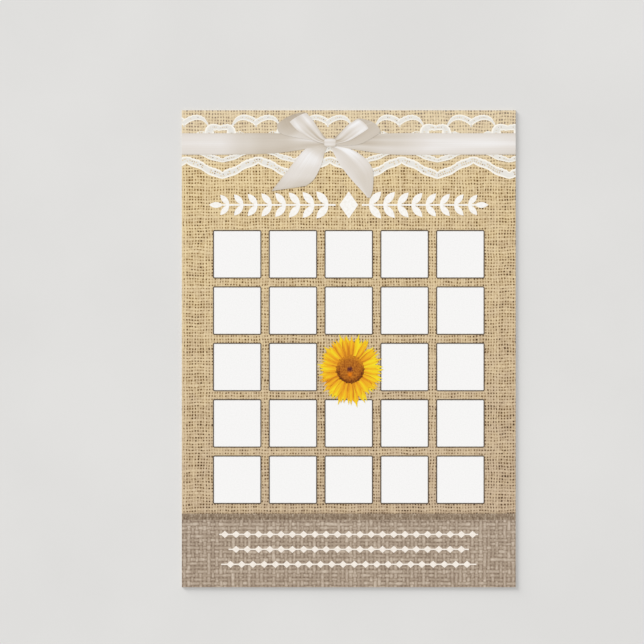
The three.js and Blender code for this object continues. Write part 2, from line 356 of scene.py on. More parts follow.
@dataclass(frozen=True)
class Paper:
    """Bare or coated card stock, with a faint cloud of fibres."""

    name: str
    light: Colour
    dark: Colour
    roughness: float
    fibre_scale: float = 3.0
    fibre_detail: float = 4.0
    dark_end: float = 0.3
    light_start: float = 0.7

    def material(self) -> Finish:
        """Writes the finish.

        Returns:
            The finished material.
        """
        sketch = Sketch(self.name, self.roughness)
        fibres = sketch.cloud(sketch.place(), self.fibre_scale, self.fibre_detail)
        colour = sketch.ramp(fibres, [(self.dark_end, self.dark), (self.light_start, self.light)])
        return sketch.finish(colour, fibres)


@dataclass(frozen=True)
class FlatInk:
    """An even ink, a little thin in places."""

    name: str
    full: Colour
    thin: Colour
    roughness: float = 0.6
    thin_end: float = 0.3
    full_start: float = 0.65

    def material(self) -> Finish:
        """Writes the finish.

        Returns:
            The finished material.
        """
        sketch = Sketch(self.name, self.roughness)
        mottle = sketch.mottle()
        colour = sketch.ramp(mottle, [(self.thin_end, self.thin), (self.full_start, self.full)])
        return sketch.finish(colour, mottle)


@dataclass(frozen=True)
class LaceInk:
    """Netted thread: a bright cord along both edges of a band, and a greyer net between them."""

    name: str
    cord: Colour = (251, 247, 237)
    net: Colour = (232, 229, 222)
    cord_limits: Limits = (0.1, 0.26)
    roughness: float = 0.6
    mottle: float = 0.8
    cord_end: float = 0.1
    net_start: float = 0.9

    def material(self) -> Finish:
        """Writes the finish.

        Returns:
            The finished material.
        """
        sketch = Sketch(self.name, self.roughness)
        _, across = sketch.strip_place()
        from_edge = sketch.minus(MIDDLE, sketch.from_middle(across))
        inside = sketch.fade(from_edge, *self.cord_limits)
        mottle = sketch.spread(sketch.mottle(), self.mottle)
        netted = sketch.total(inside, mottle)
        colour = sketch.ramp(netted, [(self.cord_end, self.cord), (self.net_start, self.net)])
        return sketch.finish(colour, mottle)


@dataclass(frozen=True)
class Weave:
    """A picture of plain-woven cloth: upright threads over and under level ones."""

    name: str
    upright_pitch: float
    level_pitch: float
    cover: float
    uneven: float
    wander: float
    thread_contrast: float
    streak_contrast: float
    warm: Stops
    cool: Stops
    hole_tone: float = 0.0
    closed_tone: float = 0.5
    base_tone: float = 0.62
    steadiness: float = 0.55
    least_open: float = 0.25
    cluster_scale: float = 0.22
    cluster_limits: Limits = (0.3, 0.62)
    edge_softness: float = 0.12
    under_shade: float = 0.08
    roundness: float = 0.5
    lane_step: float = 7.31
    upright_seed: float = 0.5
    level_seed: float = 300.5
    slub_length: float = 2.2
    fibre_fineness: float = 9.0
    fibre_scale: float = 1.3
    fibre_detail: float = 1.0
    fibre_contrast: float = 0.2
    slub_glow: float = 0.0
    glow_limits: Limits = (0.5, 0.68)
    wander_scale: float = 0.16
    float_share: float = 0.0
    veil: Colour = (226, 226, 228)
    veil_share: float = 0.0
    veil_limits: Limits = (47.0, 54.0)
    fold_edge: float = 0.0
    fold_width: float = 0.9
    fold_shade: float = 0.11
    drift_right: float = 0.0025
    drift_up: float = -0.0095
    drift_start: float = 0.52
    drift_scale: float = 0.3
    drift_spread: float = 0.6
    roughness: float = 0.62

    def threads(
        self, sketch: Sketch, along: Signal, across: Signal, pitch: float, seed: float,
    ) -> tuple[Socket, Socket, Signal]:
        """One set of parallel threads.

        Args:
            sketch: The material being written.
            along: Place along the threads.
            across: Place across them.
            pitch: Distance from thread to thread.
            seed: A number that tells the two sets apart.

        Returns:
            The thread's number, how far it covers the place, and its tone.
        """
        turns = sketch.math("DIVIDE", across, pitch)
        number = sketch.math("FLOOR", turns)
        from_middle = sketch.from_middle(sketch.math("FRACT", turns))
        own = sketch.chance(sketch.total(number, seed))
        lane = sketch.line(number, self.lane_step, seed)
        slub = sketch.cloud(sketch.pair(lane, sketch.math("DIVIDE", along, self.slub_length)))
        strand = sketch.pair(sketch.times(across, self.fibre_fineness), along)
        fibre = sketch.cloud(strand, self.fibre_scale, self.fibre_detail)
        half = sketch.total(self.cover / 2, sketch.spread(own, self.uneven), sketch.spread(slub, self.uneven))
        outside = sketch.total(half, self.edge_softness)
        inside = sketch.minus(half, self.edge_softness)
        covers = sketch.fade(from_middle, outside, inside)
        droop = sketch.times(sketch.math("POWER", from_middle, 2.0), -self.roundness)
        glow = sketch.times(sketch.fade(slub, *self.glow_limits), self.slub_glow)
        tone = sketch.total(
            self.base_tone,
            glow,
            sketch.spread(own, self.thread_contrast),
            sketch.spread(slub, self.streak_contrast),
            sketch.spread(fibre, self.fibre_contrast),
            droop,
        )
        return number, covers, tone

    def crossing(
        self, sketch: Sketch, top: Sequence[Signal], under: Sequence[Signal], hole: Signal,
    ) -> Socket:
        """Tone where one set of threads lies over the other.

        Args:
            sketch: The material being written.
            top: Cover and tone of the upper threads.
            under: Cover and tone of the lower threads.
            hole: Tone of the hole between them.

        Returns:
            The tone.
        """
        shaded = sketch.minus(under[1], self.under_shade)
        behind = sketch.between(under[0], hole, shaded)
        return sketch.between(top[0], behind, top[1])

    def hole(self, sketch: Sketch, place: Socket, x: Signal, y: Signal) -> Socket:
        """Tone of the nearest hole: some are open and dark, others nearly closed.

        Args:
            sketch: The material being written.
            place: Place on the card.
            x: Place across the upright threads.
            y: Place across the level threads.

        Returns:
            The tone.
        """
        column = sketch.math("ROUND", sketch.math("DIVIDE", x, self.upright_pitch))
        row = sketch.math("ROUND", sketch.math("DIVIDE", y, self.level_pitch))
        own = sketch.crossing_chance(column, row)
        cluster = sketch.fade(sketch.cloud(place, self.cluster_scale), *self.cluster_limits)
        steady = sketch.line(cluster, 1 - self.steadiness, self.steadiness)
        share = sketch.line(own, 1 - self.least_open, self.least_open)
        return sketch.between(sketch.times(share, steady), self.closed_tone, self.hole_tone)

    def tone(self, sketch: Sketch, place: Socket) -> Socket:
        """The woven tone at a place.

        Args:
            sketch: The material being written.
            place: Place on the card.

        Returns:
            The tone.
        """
        stray = sketch.noise(place, self.wander_scale).outputs["Color"]
        centred = sketch.add("VectorMath", stray, (MIDDLE,) * 3, operation="SUBTRACT").outputs[0]
        moved = sketch.add("VectorMath", centred, (self.wander,) * 3, place, operation="MULTIPLY_ADD")
        x, y = sketch.split(moved.outputs[0])
        upright, *upright_look = self.threads(sketch, y, x, self.upright_pitch, self.upright_seed)
        level, *level_look = self.threads(sketch, x, y, self.level_pitch, self.level_seed)
        hole = self.hole(sketch, place, x, y)
        turns = sketch.total(upright, level)
        if self.float_share:
            floats = sketch.math("LESS_THAN", sketch.crossing_chance(upright, level), self.float_share)
            turns = sketch.total(turns, floats)
        turn = sketch.math("FLOORED_MODULO", turns, 2.0)
        over = self.crossing(sketch, upright_look, level_look, hole)
        return sketch.between(turn, over, self.crossing(sketch, level_look, upright_look, hole))

    def folded(self, sketch: Sketch, place: Socket, tone: Signal) -> Socket:
        """The tone, darker next to the fold where the two cloths meet.

        Args:
            sketch: The material being written.
            place: Place on the card.
            tone: The woven tone there.

        Returns:
            The darker tone.
        """
        _, y = sketch.split(place)
        apart = sketch.math("ABSOLUTE", sketch.minus(y, self.fold_edge))
        near = sketch.fade(apart, self.fold_width, 0.0)
        return sketch.line(near, -self.fold_shade, tone)

    def drift(self, sketch: Sketch, place: Socket) -> Socket:
        """How far the cloth has turned from its warm colour to its cool one.

        Args:
            sketch: The material being written.
            place: Place on the card.

        Returns:
            The share of the cool colour.
        """
        x, y = sketch.split(place)
        slope = sketch.line(x, self.drift_right, sketch.line(y, self.drift_up, self.drift_start))
        return sketch.total(slope, sketch.spread(sketch.cloud(place, self.drift_scale), self.drift_spread))

    def material(self) -> Finish:
        """Writes the finish.

        Returns:
            The finished material.
        """
        sketch = Sketch(self.name, self.roughness)
        place = sketch.place()
        tone = self.folded(sketch, place, self.tone(sketch, place))
        drift = self.drift(sketch, place)
        colour = sketch.paint(drift, sketch.ramp(tone, self.warm), sketch.ramp(tone, self.cool))
        if self.veil_share:
            _, y = sketch.split(place)
            veiled = sketch.times(sketch.fade(y, *self.veil_limits), self.veil_share)
            colour = sketch.paint(veiled, colour, linear(self.veil))
        return sketch.finish(colour)


@dataclass(frozen=True)
class HemWeave(Weave):
    """A folded hem of the same cloth, with a row of dark stitch holes along its lower edge."""

    shade_width: float = 1.3
    stitch_scale: float = 1.5
    stitch_detail: float = 1.0
    stitch_limits: Limits = (0.35, 0.65)
    stitch_shade: float = 0.3
    least_shade: float = 0.06

    def tone(self, sketch: Sketch, place: Socket) -> Socket:
        """The woven tone at a place, shaded towards the fold.

        Args:
            sketch: The material being written.
            place: Place on the card.

        Returns:
            The tone.
        """
        woven = super().tone(sketch, place)
        x, y = sketch.split(place)
        near = sketch.fade(y, self.fold_edge + self.shade_width, self.fold_edge)
        row = sketch.cloud(sketch.pair(x, 0.0), self.stitch_scale, self.stitch_detail)
        stitch = sketch.fade(row, *self.stitch_limits)
        shade = sketch.times(near, sketch.line(stitch, self.stitch_shade, self.least_shade))
        return sketch.minus(woven, shade)


@dataclass(frozen=True)
class Satin:
    """Printed satin: light that falls along the ribbon and creases that gather at the knot."""

    along: Tones
    root: Tones
    mouth: Tones
    streaks: float = 0.1
    lanes_along: float = 1.5
    lanes_across: float = 22.0
    fold_reach: float = 1.0
    roughness: float = 0.5
    shades: Stops = (
        (0.0, (150, 131, 110)),
        (0.3, (194, 181, 163)),
        (0.6, (214, 205, 193)),
        (0.85, (230, 224, 218)),
        (1.0, (246, 245, 245)),
    )

    def material(self, name: str) -> Finish:
        """Writes the finish.

        Args:
            name: The material's name.

        Returns:
            The finish.
        """
        sketch = Sketch(name, self.roughness)
        along, across = sketch.strip_place()
        opened = sketch.fade(along, 0.0, self.fold_reach)
        folds = sketch.between(opened, sketch.curve(across, self.root), sketch.curve(across, self.mouth))
        lane = sketch.pair(sketch.times(along, self.lanes_along), sketch.times(across, self.lanes_across))
        streak = sketch.spread(sketch.cloud(lane), self.streaks)
        tone = sketch.total(sketch.curve(along, self.along), sketch.minus(folds, MIDDLE), streak)
        return sketch.finish(sketch.ramp(tone, self.shades))


@dataclass(frozen=True)
class PetalInk:
    """Yellow ray petals, orange towards the disc and on some petals, with lengthwise veins."""

    name: str
    colours: Stops = (
        (0.0, (204, 124, 26)),
        (0.22, (238, 163, 32)),
        (0.55, (243, 200, 34)),
        (0.85, (246, 223, 40)),
    )
    lanes_along: float = 1.2
    lanes_across: float = 5.0
    petal_shift: float = 40.0
    vein_scale: float = 1.6
    vein_contrast: float = 0.8
    rim_shade: float = 0.85
    reach_middle: float = 0.55
    reach_contrast: float = 0.5
    lift: float = 0.11
    roughness: float = 0.6

    def material(self) -> Finish:
        """Writes the finish.

        Returns:
            The finished material.
        """
        sketch = Sketch(self.name, self.roughness)
        along, across = sketch.strip_place()
        own = sketch.add("Attribute", attribute_name="tint").outputs["Fac"]
        lane = sketch.pair(sketch.times(along, self.lanes_along), sketch.times(across, self.lanes_across))
        shift = sketch.pair(sketch.times(own, self.petal_shift), 0.0)
        shifted = sketch.add("VectorMath", lane, shift).outputs[0]
        vein = sketch.spread(sketch.cloud(shifted, self.vein_scale), self.vein_contrast)
        rim = sketch.times(sketch.from_middle(across), -self.rim_shade)
        reach = sketch.times(sketch.minus(along, self.reach_middle), self.reach_contrast)
        tone = sketch.total(own, vein, rim, reach, self.lift)
        return sketch.finish(sketch.ramp(tone, self.colours))


@dataclass(frozen=True)
class DiscInk:
    """The brown heart of the flower, darker at its rim and speckled."""

    name: str
    middle_x: float
    middle_y: float
    rim_radius: float
    browns: Stops = ((0.1, (98, 46, 8)), (0.5, (170, 96, 24)), (0.9, (206, 132, 42)))
    heart: Colour = (78, 30, 42)
    spot: Colour = (228, 124, 8)
    fringe: Colour = (224, 146, 26)
    heart_limits: Limits = (1.1, 0.15)
    spot_drop: float = 1.3
    spot_limits: Limits = (1.0, 0.1)
    rim_start: float = 0.6
    rim_shade: float = 0.4
    ragged_scale: float = 2.4
    ragged_edge: float = 0.9
    speckle_scale: float = 2.2
    speckle_detail: float = 3.0
    speckle_contrast: float = 1.0
    upper_limits: Limits = (-1.0, 2.0)
    base_tone: float = 0.55
    fringe_share: float = 0.6
    roughness: float = 0.65

    def material(self) -> Finish:
        """Writes the finish.

        Returns:
            The finished material.
        """
        sketch = Sketch(self.name, self.roughness)
        place = sketch.place()
        middle = (self.middle_x, self.middle_y, 0.0)
        offset = sketch.add("VectorMath", place, middle, operation="SUBTRACT").outputs[0]
        _, y = sketch.split(offset)
        radius = sketch.length(offset)
        rim = sketch.fade(radius, self.rim_radius * self.rim_start, self.rim_radius)
        ragged = sketch.spread(sketch.cloud(place, self.ragged_scale), self.ragged_edge)
        heart = sketch.fade(sketch.total(radius, ragged), *self.heart_limits)
        below = sketch.add("VectorMath", offset, (0.0, self.spot_drop, 0.0)).outputs[0]
        spot = sketch.fade(sketch.total(sketch.length(below), ragged), *self.spot_limits)
        speckles = sketch.cloud(place, self.speckle_scale, self.speckle_detail)
        speckle = sketch.spread(speckles, self.speckle_contrast)
        upper = sketch.fade(y, *self.upper_limits)
        shade = sketch.times(rim, sketch.line(upper, self.rim_shade, -self.rim_shade))
        tone = sketch.total(self.base_tone, speckle, shade)
        fringed = sketch.times(sketch.times(rim, upper), sketch.total(speckle, self.fringe_share))
        brown = sketch.paint(fringed, sketch.ramp(tone, self.browns), linear(self.fringe))
        spotted = sketch.paint(spot, brown, linear(self.spot))
        return sketch.finish(sketch.paint(heart, spotted, linear(self.heart)), speckle)


def set_mode(mode: str) -> None:
    """Goes into edit mode, or back to object mode."""
    bpy.ops.object.mode_set(mode=mode)


def deselect_all() -> None:
    """Leaves nothing selected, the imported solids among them."""
    if bpy.context.object and bpy.context.object.mode != "OBJECT":
        set_mode("OBJECT")
    bpy.ops.object.select_all(action="DESELECT")


def take(piece: Piece) -> None:
    """Makes a piece the only one selected, and the active one.

    Args:
        piece: The piece.
    """
    deselect_all()
    piece.select_set(True)
    bpy.context.view_layer.objects.active = piece


def show(thing: Piece) -> None:
    """Puts a new object into the scene."""
    bpy.context.scene.collection.objects.link(thing)


def copy_of(model: Piece) -> Piece:
    """A copy of a piece, with a mesh of its own.

    Args:
        model: The piece.

    Returns:
        The copy, in the scene.
    """
    copy = model.copy()
    copy.data = model.data.copy()
    show(copy)
    return copy


def choose(piece: Piece, wanted: Callable[[bmesh.types.BMVert], bool]) -> None:
    """Selects the vertices of a piece in edit mode.

    Args:
        piece: The piece, in edit mode.
        wanted: Says whether a vertex is selected.
    """
    mesh = bmesh.from_edit_mesh(piece.data)
    mesh.verts.index_update()
    for vertex in mesh.verts:
        vertex.select_set(wanted(vertex))
    mesh.select_flush_mode()
    bmesh.update_edit_mesh(piece.data)


def apply_modifier(piece: Piece, kind: str, **settings: object) -> None:
    """Adds a modifier and applies it.

    Args:
        piece: The piece that it shapes.
        kind: The modifier's type.
        settings: Properties to set on it.
    """
    take(piece)
    modifier = piece.modifiers.new(kind.title(), kind)
    for key, value in settings.items():
        setattr(modifier, key, value)
    bpy.ops.object.modifier_apply(modifier=modifier.name)


def on_line(points: Sequence[Vector], share: float) -> Vector:
    """A place on a smooth line through points.

    Args:
        points: The points in order.
        share: How far along the line, from 0 to 1.

    Returns:
        The place.
    """
    spans = len(points) - 1
    index = min(int(share * spans), spans - 1)
    part = share * spans - index
    start, end = points[index], points[index + 1]
    before = points[max(index - 1, 0)]
    after = points[min(index + 2, spans)]
    slope = (end - before) * part
    bend = (2 * before - 5 * start + 4 * end - after) * part**2
    twist = (3 * start - before - 3 * end + after) * part**3
    return start + (slope + bend + twist) / 2


def lay_strip(
    name: str, near: Sequence[Vector], far: Sequence[Vector], columns: int, rows: int,
) -> Piece:
    """A flat sheet between two edges, drawn to shape column by column.

    Args:
        name: The piece's name.
        near: Points of the edge where the strip's width starts.
        far: Points of the other edge, as many.
        columns: Cells along the strip.
        rows: Cells across it.

    Returns:
        The sheet, at height zero.
    """
    deselect_all()
    bpy.ops.mesh.primitive_grid_add(x_subdivisions=columns, y_subdivisions=rows, size=2 * BLANK_HALF)
    piece = bpy.context.object
    piece.name = piece.data.name = name
    set_mode("EDIT")
    for column in range(columns + 1):
        share = column / columns
        first, second = on_line(near, share), on_line(far, share)
        across = second - first
        start = Vector(((2 * share - 1) * BLANK_HALF, 0.0, 0.0))
        turn = math.atan2(across.y, across.x) - math.pi / 2
        choose(piece, lambda vertex: vertex.index % (columns + 1) == column)
        bpy.ops.transform.resize(value=(1, across.length / (2 * BLANK_HALF), 1), center_override=start)
        bpy.ops.transform.rotate(value=-turn, orient_axis="Z", center_override=start)
        bpy.ops.transform.translate(value=(first + second) / 2 - start)
    set_mode("OBJECT")
    return piece


def join(pieces: Sequence[Piece], name: str) -> Piece:
    """Joins pieces into one.

    Args:
        pieces: The pieces.
        name: The name of the whole.

    Returns:
        The whole.
    """
    take(pieces[0])
    for piece in pieces:
        piece.select_set(True)
    bpy.ops.object.join()
    whole = bpy.context.object
    whole.name = whole.data.name = name
    return whole


def press(piece: Piece, node: str, levels: int = 1) -> None:
    """Gives a flat sheet the height and the thickness of the film that it stands for.

    Args:
        piece: The sheet, at height zero, or sheets at several levels within the film.
        node: The film's node.
        levels: How many sheets share the film's thickness.
    """
    low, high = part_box(node)
    take(piece)
    set_mode("EDIT")
    bpy.ops.mesh.select_all(action="SELECT")
    bpy.ops.transform.translate(value=(0, 0, low.z))
    mesh = bmesh.from_edit_mesh(piece.data)
    for face in mesh.faces:
        face.select_set(face.normal.z < 0)
    bpy.ops.mesh.flip_normals()
    set_mode("OBJECT")
    apply_modifier(piece, "SOLIDIFY", thickness=(high.z - low.z) / levels, offset=1.0)


def hand_over(piece: Piece, material: Finish, slot: Slot, *nodes: str) -> None:
    """Dresses a new piece and puts it on the card.

    Args:
        piece: The finished mesh.
        material: Its finish.
        slot: The record's slot for it; not used.
        nodes: The solids that it stands for.
    """
    piece.data.materials.clear()
    piece.data.materials.append(material)
    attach(piece, BODY)
    if nodes:
        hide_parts(*nodes)
    LOG.info("%s: %d faces", piece.name, len(piece.data.polygons))


def dress(node: str, material: Finish) -> None:
    """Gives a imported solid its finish."""
    frame["nodes"][node].material_slots[0].material = material
    LOG.info("%s: dressed", node)


@dataclass
class CardStock:
    """The sheet of stock: a core between two coatings."""

    coating: Paper = Paper("coated_stock", (249, 248, 247), (244, 243, 242), 0.5)
    core: Paper = Paper("bare_stock", (206, 200, 189), (194, 187, 175), 0.85, 5.0)

    def build(self) -> None:
        """Dresses the sheet."""
        coated = self.coating.material()
        dress("front_coating", coated)
        dress("back_coating", coated)
        dress("card_core", self.core.material())


@dataclass
class WovenGround:
    """The burlap ground and the linen band at the foot with its hem."""

    burlap: Weave = Weave(
        name="burlap_picture",
        upright_pitch=0.743,
        level_pitch=0.845,
        cover=0.56,
        uneven=0.16,
        wander=0.9,
        thread_contrast=0.08,
        streak_contrast=0.2,
        steadiness=0.7,
        least_open=0.0,
        veil_share=0.16,
        warm=((0.0, (60, 33, 8)), (0.3, (152, 118, 68)), (0.6, (230, 207, 161)), (0.95, (249, 234, 194))),
        cool=((0.0, (40, 22, 8)), (0.3, (118, 91, 63)), (0.6, (204, 181, 151)), (0.95, (228, 211, 185))),
    )
    linen: Weave = Weave(
        name="linen_picture",
        upright_pitch=1.08,
        level_pitch=1.05,
        cover=0.72,
        uneven=0.22,
        wander=0.45,
        thread_contrast=0.2,
        streak_contrast=0.4,
        slub_length=1.8,
        slub_glow=0.14,
        fibre_fineness=2.4,
        fibre_contrast=0.5,
        float_share=0.28,
        roundness=2.4,
        closed_tone=0.25,
        under_shade=0.2,
        warm=((0.0, (121, 102, 85)), (0.5, (172, 154, 135)), (1.0, (209, 194, 176))),
        cool=((0.0, (121, 102, 85)), (0.5, (171, 153, 134)), (1.0, (208, 193, 175))),
    )
    hem: HemWeave = HemWeave(
        name="hem_picture",
        upright_pitch=0.42,
        level_pitch=0.9,
        cover=0.8,
        uneven=0.2,
        wander=0.8,
        thread_contrast=0.3,
        streak_contrast=0.9,
        fibre_contrast=0.9,
        slub_length=0.8,
        fold_shade=0.0,
        warm=((0.0, (94, 76, 60)), (0.5, (147, 127, 105)), (1.0, (194, 178, 158))),
        cool=((0.0, (94, 76, 60)), (0.5, (147, 127, 105)), (1.0, (194, 178, 158))),
    )

    def build(self) -> None:
        """Dresses the three grounds."""
        low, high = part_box("linen_hem_print")
        lower, upper = low.y / MM, high.y / MM
        dress("burlap_print", replace(self.burlap, fold_edge=upper).material())
        dress("linen_band_print", replace(self.linen, fold_edge=lower).material())
        dress("linen_hem_print", replace(self.hem, fold_edge=lower).material())


@dataclass
class PlayingSquares:
    """Ink outlines of the squares, and the white ornaments over and under them."""

    count: int = 5
    foot_rows: int = 3
    outline: FlatInk = FlatInk("outline_ink", (80, 68, 55), (104, 91, 76))
    white: FlatInk = FlatInk("white_ink", (252, 250, 246), (244, 240, 233), 0.55)
    cream: FlatInk = FlatInk("cream_ink", (248, 240, 230), (238, 229, 218), 0.55)

    def build(self) -> None:
        """Dresses the outlines, the sprigs with their diamond and the beaded rules."""
        ink = self.outline.material()
        free = (self.count + 1) // 2
        for row in range(1, self.count + 1):
            for column in range(1, self.count + 1):
                if (row, column) != (free, free):
                    dress(f"square_outline_r{row}_c{column}", ink)
        white = self.white.material()
        for side in Side:
            dress(f"title_sprig_{side.word}_print", white)
        dress("title_diamond_print", white)
        cream = self.cream.material()
        for row in range(1, self.foot_rows + 1):
            dress(f"foot_row_{row}_print", cream)


def band_edges(
    line: Sequence[Vector], columns: int, picot: float, level_ends: bool = False,
) -> tuple[list[Vector], list[Vector]]:
    """Two edges square to a line, with a picot at every second cell of the far edge.

    Args:
        line: Points of the middle line, each with half the band's width as its height.
        columns: Cells along the band.
        picot: How far a picot stands out.
        level_ends: Whether the band runs level at both ends, so that copies join.

    Returns:
        The near edge and the far edge.
    """
    near, far = [], []
    step = 0.001
    for column in range(columns + 1):
        share = column / columns
        point = on_line(line, share)
        ahead, behind = on_line(line, min(share + step, 1)), on_line(line, max(share - step, 0))
        forward = (ahead - behind).xy.normalized()
        if level_ends and column in (0, columns):
            forward = Vector((1.0, 0.0))
        normal = Vector((-forward.y, forward.x, 0.0))
        middle = Vector((point.x, point.y, 0.0))
        near.append(middle - normal * point.z)
        far.append(middle + normal * (point.z + picot * (column % 2)))
    return near, far


@dataclass(frozen=True)
class LaceArch:
    """One arch of the scalloped edge.

    Each point of its line is out from the pair's middle and up from the ribbon, with half the width there.
    """

    line: Sequence[tuple[float, float, float]]
    columns: int
    rows: int = 2


@dataclass
class LaceEdging:
    """Lace under the ribbon: a scalloped upper edge and two zigzag bands, all of netted thread."""

    repeat: float = 19.1
    repeats: int = 6
    first_repeat: int = -3
    cells: int = 34
    thread: float = 0.24
    picot: float = 0.14
    levels: int = 6
    arch_shift: float = -0.55
    tall: LaceArch = LaceArch(
        line=(
            (-0.2, 2.75, 0.75),
            (1.2, 3.7, 0.75),
            (3.0, 4.25, 0.72),
            (4.6, 4.0, 0.6),
            (5.6, 3.2, 0.38),
            (6.4, 2.0, 0.2),
        ),
        columns=18,
        rows=3,
    )
    post: LaceArch = LaceArch(line=((0.0, 2.6, 0.35), (0.0, 1.7, 0.25)), columns=2, rows=1)
    low: LaceArch = LaceArch(
        line=(
            (-0.2, 1.38, 0.66),
            (1.1, 1.6, 0.8),
            (2.1, 1.6, 0.92),
            (2.7, 1.15, 1.12),
            (2.95, 0.4, 1.25),
            (3.0, -0.6, 1.3),
        ),
        columns=12,
        rows=3,
    )
    small: LaceArch = LaceArch(
        line=((4.2, 0.0, 0.35), (5.2, 0.25, 0.35), (6.2, -0.2, 0.3)),
        columns=4,
        rows=1,
    )
    post_level: int = 2
    inner_band: float = 1.15
    inner_depth: float = 3.2
    inner_rows: int = 3
    outer_band: float = 1.95
    outer_drop: float = 3.5
    outer_depth: float = 4.2
    outer_rows: int = 4
    sharpness: float = 0.985
    scallop: float = 0.2
    scallops: int = 4
    leg_step: float = 0.07
    leg_waves: int = 4
    net_limits: tuple[float, float] = (0.2, 0.8)
    solid_share: float = 0.42
    least_cell: float = 0.15
    merge_within: float = 0.001
    cut_slack: float = 0.00001
    seed: int = 3
    ink: LaceInk = LaceInk("lace_ink")
    material: Finish = field(init=False)
    start: float = field(init=False)

    def zigzag(self, along: float) -> float:
        """The height of a zigzag with sharp tips and a step in each leg.

        Args:
            along: Place along the band, in millimetres.

        Returns:
            From 1 at a peak to -1 half a repeat away.
        """
        turn = 2 * math.pi * along / self.repeat
        straight = math.asin(self.sharpness * math.cos(turn)) / math.asin(self.sharpness)
        return straight - math.copysign(self.leg_step, math.sin(turn)) * math.sin(self.leg_waves * turn)

    def arch(
        self, arch: LaceArch, middle: float, side: Side, ribbon_top: float, level: float,
    ) -> Piece:
        """Draws one arch of a pair.

        Args:
            arch: Its shape.
            middle: Middle of the pair, in millimetres.
            side: Which of the two it is.
            ribbon_top: Upper edge of the ribbon, in millimetres.
            level: Height of its sheet over the other arches, in metres.

        Returns:
            The arch as a flat sheet.
        """
        line = [
            Vector((middle + side.value * out, ribbon_top + up, half)) * MM
            for out, up, half in arch.line
        ]
        picot = -self.picot if side is Side.RIGHT else self.picot
        near, far = band_edges(line, arch.columns, picot * MM)
        piece = lay_strip("lace_arch", near, far, arch.columns, arch.rows)
        piece.data.transform(Matrix.Translation((0, 0, level)))
        return piece

    def upper_edge(self, ribbon_top: float) -> None:
        """Nets the scalloped edge over the ribbon.

        Args:
            ribbon_top: Upper edge of the ribbon, in millimetres.
        """
        node = "lace_upper_edge_print"
        low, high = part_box(node)
        step = (high.z - low.z) / self.levels
        peak = self.start + self.arch_shift
        valley = peak + self.repeat / 2
        shapes = ((self.tall, peak), (self.low, valley), (self.small, valley))
        arches = []
        for shape, middle in shapes:
            for side in Side:
                arches.append(self.arch(shape, middle, side, ribbon_top, len(arches) % self.levels * step))
        arches.append(self.arch(self.post, peak, Side.RIGHT, ribbon_top, self.post_level * step))
        self.lay(join(arches, "lace_upper_edge"), node, self.levels)

    def zigzag_band(self, name: str, rows: int, middle: float, depth: float, width: float) -> None:
        """Nets one zigzag band.

        Args:
            name: The band's name, also in its node.
            rows: Cells across the band.
            middle: Height of its middle line, in millimetres.
            depth: From its peaks to its valleys.
            width: Its width.
        """
        node = f"lace_{name}_print"
        line = []
        for cell in range(self.cells + 1):
            along = self.repeat * cell / self.cells
            swell = self.scallop * abs(math.sin(math.pi * self.scallops * cell / self.cells))
            y = middle + self.zigzag(along) * depth / 2
            line.append(Vector((self.start + along, y, width / 2 + swell - self.scallop / 2)) * MM)
        near, far = band_edges(line, self.cells, self.picot * MM, level_ends=True)
        self.lay(lay_strip(f"lace_{name}", near, far, self.cells, rows), node)

    def lay(self, piece: Piece, node: str, levels: int = 1) -> None:
        """Repeats a band across the card, nets it and puts it in its place.

        Args:
            piece: One repeat of the band, as a flat sheet.
            node: The film that it stands for.
            levels: How many sheets share the film's thickness.
        """
        self.spread_repeats(piece)
        self.net(piece)
        press(piece, node, levels)
        hand_over(piece, self.material, Slot.LACE, node)

    def spread_repeats(self, piece: Piece) -> None:
        """Copies one repeat across the card and joins the copies at their ends."""
        apply_modifier(
            piece,
            "ARRAY",
            count=self.repeats,
            use_relative_offset=False,
            use_constant_offset=True,
            constant_offset_displace=(self.repeat * MM, 0.0, 0.0),
            use_merge_vertices=True,
            merge_threshold=self.merge_within * MM,
        )

    def net(self, piece: Piece) -> None:
        """Opens the cells of a band and trims it flush with the card.

        Args:
            piece: The band as a closed sheet.
        """
        low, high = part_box("card_core")
        take(piece)
        set_mode("EDIT")
        bpy.ops.mesh.select_mode(type="FACE")
        mesh = bmesh.from_edit_mesh(piece.data)
        places = mesh.loops.layers.uv.verify()
        start, end = self.net_limits
        for face in mesh.faces:
            across = sum(corner[places].uv.y for corner in face.loops) / len(face.loops)
            face.select_set(start < across < end and face.calc_area() >= self.least_cell * MM**2)
        bpy.ops.mesh.inset(thickness=self.thread / 2 * MM, use_individual=True)
        bpy.ops.mesh.select_random(ratio=self.solid_share, seed=self.seed, action="DESELECT")
        bpy.ops.mesh.delete(type="FACE")
        bpy.ops.mesh.select_mode(type="VERT")
        for edge, outward in ((low.x, -1), (high.x, 1)):
            bpy.ops.mesh.select_all(action="SELECT")
            bpy.ops.mesh.bisect(
                plane_co=(edge, 0, 0),
                plane_no=(outward, 0, 0),
                clear_outer=True,
                threshold=self.cut_slack * MM,
            )
        set_mode("OBJECT")

    def build(self) -> None:
        """Makes the three bands."""
        low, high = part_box("ribbon_left_print")
        knot_low, knot_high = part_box("bow_knot_print")
        ribbon_top, ribbon_bottom = high.y / MM, low.y / MM
        self.start = (knot_low.x + knot_high.x) / 2 / MM + self.first_repeat * self.repeat
        self.material = self.ink.material()
        self.upper_edge(ribbon_top)
        self.zigzag_band("inner_band", self.inner_rows, ribbon_bottom, self.inner_depth, self.inner_band)
        outer_middle = ribbon_bottom - self.outer_drop
        self.zigzag_band("outer_band", self.outer_rows, outer_middle, self.outer_depth, self.outer_band)


